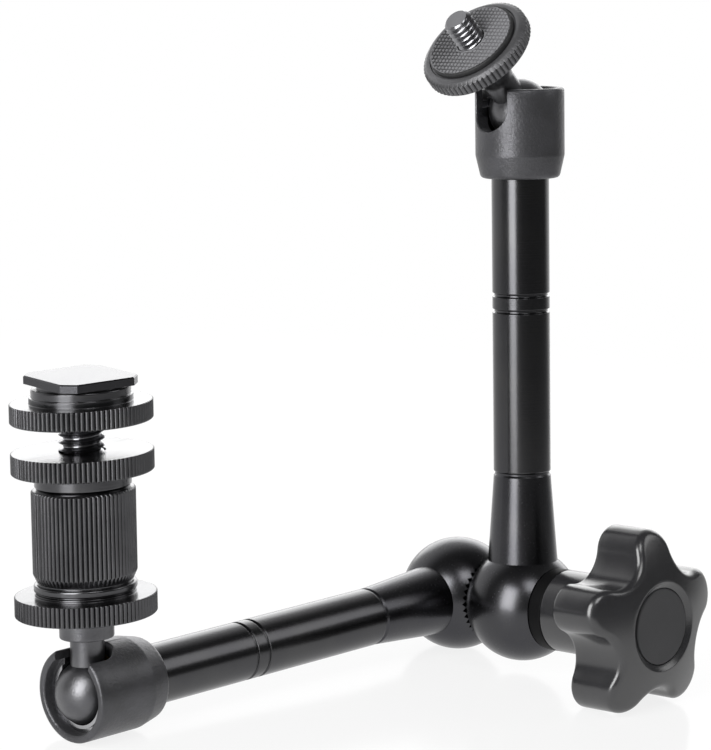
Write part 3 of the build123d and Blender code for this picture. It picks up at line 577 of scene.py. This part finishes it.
knurled_wheel("shoe_wheel_rim", [
    (post_bore, SHOE_FROM), *wheel_rim(SHOE_FROM, SHOE_TO), (SHOE_HUB_R, SHOE_TO, 0.15),
    (SHOE_HUB_R, SHOE_TO + 1.3, 0.15), (SHOE_STEP_R, SHOE_TO + 1.35, 0.08), (SHOE_STEP_R, SHOE_TO + 2.9, 0.25),
    (SHOE_NECK_R, SHOE_TO + 2.9, 0.1), (SHOE_NECK_R, FOOT_FROM), (post_bore, FOOT_FROM)],
    WHEEL_TEETH, WHEEL_R, "shoe_wheel", "shoe_wheel")
piece("shoe_post_thread", [(thread(POST_R, POST_PITCH, POST_FROM, FOOT_FROM, 0.5, 0.0), False, False)], STACK,
      "shoe_post", screw_steel, ("shoe_post",), 35)

neck = np.concatenate([ball(0), rounded([
    (SHANK_R, SHANK_FROM), (SHANK_R, NECK_TOP, 0.8), (FLARE_R, FLARE_TOP, 0.4), (FLARE_R, FLARE_END),
    (0, FLARE_END)])])
piece("upper_ball_and_neck", [(turned(neck), False, True)], HEAD, "upper_ball", ball_steel,
      ("upper_ball_stud",), 35, rings)
piece("camera_screw_thread", [(thread(QUARTER_R, QUARTER_PITCH, FLARE_END, SCREW_TOP, 0.0, 0.7), False, False)],
      HEAD, "upper_ball", screw_steel, ("upper_ball_stud",), 35)
knurled_wheel("screw_wheel_rim", [
    (bore, FLARE_END), (SCREW_WHEEL_R - 0.5, FLARE_END, 0.15), (SCREW_WHEEL_R + PROUD, FLARE_END + 0.5, 0.12),
    (SCREW_WHEEL_R + PROUD, SCREW_WHEEL_TO - 0.95, 0.3), (SCREW_WHEEL_R - 1.2, SCREW_WHEEL_TO - 0.05, 0.5),
    (PAD_R + 0.45, SCREW_WHEEL_TO, 0.1), (PAD_R + 0.3, SCREW_WHEEL_TO - 0.35, 0.05),
    (PAD_R - 0.2, SCREW_WHEEL_TO - 0.35), (bore, SCREW_WHEEL_TO - 0.35)],
    SCREW_WHEEL_TEETH, SCREW_WHEEL_R, "screw_wheel", "screw_wheel", HEAD, wheel_blasted)


def pad_crest_highlight(local):
    """1 on the pad's raised squares, falling to 0 in its channels and at its outer edge; it places the painted
    highlight.
    """
    return np.clip(1 - (PAD_TOP - local[:, 2]) / PAD_RELIEF, 0, 1) * (out_from_axis(local) < PAD_R - 0.4)


piece("grip_pad", [(pad_surface(), True, True)], HEAD, "screw_wheel", pad_rubber, ("rubber_pad",),
      60, {"crest_highlight": pad_crest_highlight})


# ---- Studio ----
CAMERA_AT = (-0.519281, -0.482777, 0.227048)
CAMERA_AZIMUTH, CAMERA_DOWN, CAMERA_ROLL = np.radians((-46.8157, 11.8944, 3.4654))
FOCAL_PX, LONG_SIDE_PX = 3500, 750
CENTRE_PX = (6, -22)
ahead = np.array([-np.sin(CAMERA_AZIMUTH) * np.cos(CAMERA_DOWN), np.cos(CAMERA_AZIMUTH) * np.cos(CAMERA_DOWN),
                  -np.sin(CAMERA_DOWN)])
level = unit(np.cross(ahead, (0, 0, 1)))
above = np.cross(level, ahead)
right = level * np.cos(CAMERA_ROLL) + above * np.sin(CAMERA_ROLL)
top = above * np.cos(CAMERA_ROLL) - level * np.sin(CAMERA_ROLL)
lens = bpy.data.cameras.new("camera")
lens.sensor_width = 36
lens.lens = FOCAL_PX / LONG_SIDE_PX * lens.sensor_width
lens.shift_x = -CENTRE_PX[0] / LONG_SIDE_PX
lens.shift_y = CENTRE_PX[1] / LONG_SIDE_PX
lens.clip_start, lens.clip_end = 0.05, 20
camera = bpy.data.objects.new("camera", lens)
camera_axes = np.stack([right, top, -ahead], 1).tolist()
camera.matrix_world = Matrix([[*row, at] for row, at in zip(camera_axes, CAMERA_AT)] + [[0, 0, 0, 1]])
bpy.context.scene.collection.objects.link(camera)
bpy.context.scene.camera = camera

middle = np.array((cad_low + cad_high) / 2)


def softbox(name, turn, lift, distance, width, tall, radiance):
    """Area lamp aimed at the arm's middle, turned from the camera's side (positive to its right) and lifted,
    both in degrees, with the radiance that its face shows. The camera doesn't see it."""
    way = CAMERA_AZIMUTH + np.radians(turn)
    up = np.radians(lift)
    back = np.array([np.sin(way) * np.cos(up), -np.cos(way) * np.cos(up), np.sin(up)])
    data = bpy.data.lights.new(name, "AREA")
    data.shape, data.size, data.size_y = "RECTANGLE", width, tall
    data.energy = radiance * width * tall * np.pi
    side = unit(np.cross((0, 0, 1), back))
    lamp = bpy.data.objects.new(name, data)
    place = middle + back * distance
    axes = np.stack([side, np.cross(back, side), back], 1).tolist()
    lamp.matrix_world = Matrix([[*row, at] for row, at in zip(axes, place)] + [[0, 0, 0, 1]])
    lamp.visible_camera = False
    bpy.context.scene.collection.objects.link(lamp)


softbox("key", -35, 18.2, 0.6, 0.32, 0.52, 8.0)
softbox("overhead", 20, 50, 1.0, 0.38, 0.38, 4.8)
softbox("side", 95, 33, 1.0, 0.45, 0.5, 1.9)
softbox("rear", 176, 16, 1.3, 1.6, 0.7, 1.9)

# Paper-white surround: strength 1 where the camera sees it. Polished parts see it white behind the arm, and a
# dim room elsewhere, and it lights the arm at a plain level.
world = bpy.data.worlds.new("studio")
bpy.context.scene.world = world
world.use_nodes = True
tree = world.node_tree
tree.nodes.clear()
white_side = unit(ahead * np.array([1, 1, 0]) - 0.4 * level)
ray = add(tree, "ShaderNodeLightPath", {}).outputs
facing = add(tree, "ShaderNodeVectorMath", {"operation": "DOT_PRODUCT", 1: white_side.tolist()},
             {0: add(tree, "ShaderNodeTexCoord", {}).outputs["Generated"]}).outputs["Value"]
seen = add(tree, "ShaderNodeMapRange", {"interpolation_type": "SMOOTHSTEP", "From Min": 0.25, "From Max": 0.75,
                                        "To Min": 0.1, "To Max": 1.0}, {"Value": facing}).outputs["Result"]
polished = add(tree, "ShaderNodeMath", {"operation": "MAXIMUM"},
               {0: ray["Is Glossy Ray"], 1: ray["Is Transmission Ray"]}).outputs[0]
strength = add(tree, "ShaderNodeMix", {"data_type": "FLOAT", 2: 0.12}, {0: polished, 3: seen}).outputs[0]
strength = add(tree, "ShaderNodeMix", {"data_type": "FLOAT", 3: 1.0},
               {0: ray["Is Camera Ray"], 2: strength}).outputs[0]
surround = add(tree, "ShaderNodeBackground", {"Color": (1, 1, 1, 1)}, {"Strength": strength})
add(tree, "ShaderNodeOutputWorld", {}, {"Surface": surround.outputs[0]})

# Gloss-white table: strength 1 where it is seen, with a share of its own lit surface for the shadow and a faint
# mirror of the arm.
table = bpy.data.materials.new("gloss_white_acrylic")
table.use_nodes = True
tree = table.node_tree
tree.nodes.clear()
ray = add(tree, "ShaderNodeLightPath", {}).outputs
polished = add(tree, "ShaderNodeMath", {"operation": "MAXIMUM"},
               {0: ray["Is Glossy Ray"], 1: ray["Is Transmission Ray"]}).outputs[0]
behind = add(tree, "ShaderNodeVectorMath", {"operation": "DOT_PRODUCT", 1: white_side.tolist()},
             {0: add(tree, "ShaderNodeTexCoord", {}).outputs["Object"]}).outputs["Value"]
behind = add(tree, "ShaderNodeMapRange", {"interpolation_type": "SMOOTHSTEP", "From Min": 0.05, "From Max": 0.5},
             {"Value": behind}).outputs["Result"]
reach = add(tree, "ShaderNodeVectorMath", {"operation": "LENGTH"},
            {0: add(tree, "ShaderNodeTexCoord", {}).outputs["Object"]}).outputs["Value"]
close = add(tree, "ShaderNodeMapRange", {"interpolation_type": "SMOOTHSTEP", "From Min": 0.5, "From Max": 0.15,
                                         "To Max": 0.85}, {"Value": reach}).outputs["Result"]
white = add(tree, "ShaderNodeMath", {"operation": "MAXIMUM"}, {0: behind, 1: close}).outputs[0]
share = add(tree, "ShaderNodeMath", {"operation": "MULTIPLY"}, {0: polished, 1: white}).outputs[0]
shown = add(tree, "ShaderNodeMapRange", {"From Min": 0.12, "From Max": 0.4, "To Min": 0.84, "To Max": 1.0},
            {"Value": reach}).outputs["Result"]
share = add(tree, "ShaderNodeMix", {"data_type": "FLOAT"},
            {0: ray["Is Camera Ray"], 2: share, 3: shown}).outputs[0]
lit = add(tree, "ShaderNodeBsdfPrincipled", {"Base Color": linear("#f2f2f2"), "Roughness": 0.16})
glow = add(tree, "ShaderNodeEmission", {"Color": (1, 1, 1, 1), "Strength": 1.0})
both = add(tree, "ShaderNodeMixShader", {}, {0: share, 1: lit.outputs[0], 2: glow.outputs[0]})
add(tree, "ShaderNodeOutputMaterial", {}, {"Surface": both.outputs[0]})
mesh = bpy.data.meshes.new("table_top")
mesh.from_pydata([(-6, -6, 0), (6, -6, 0), (6, 6, 0), (-6, 6, 0)], [], [(0, 1, 2, 3)])
mesh.materials.append(table)
floor = bpy.data.objects.new("table_top", mesh)
bpy.context.scene.collection.objects.link(floor)

bpy.context.scene.view_settings.view_transform = "Standard"
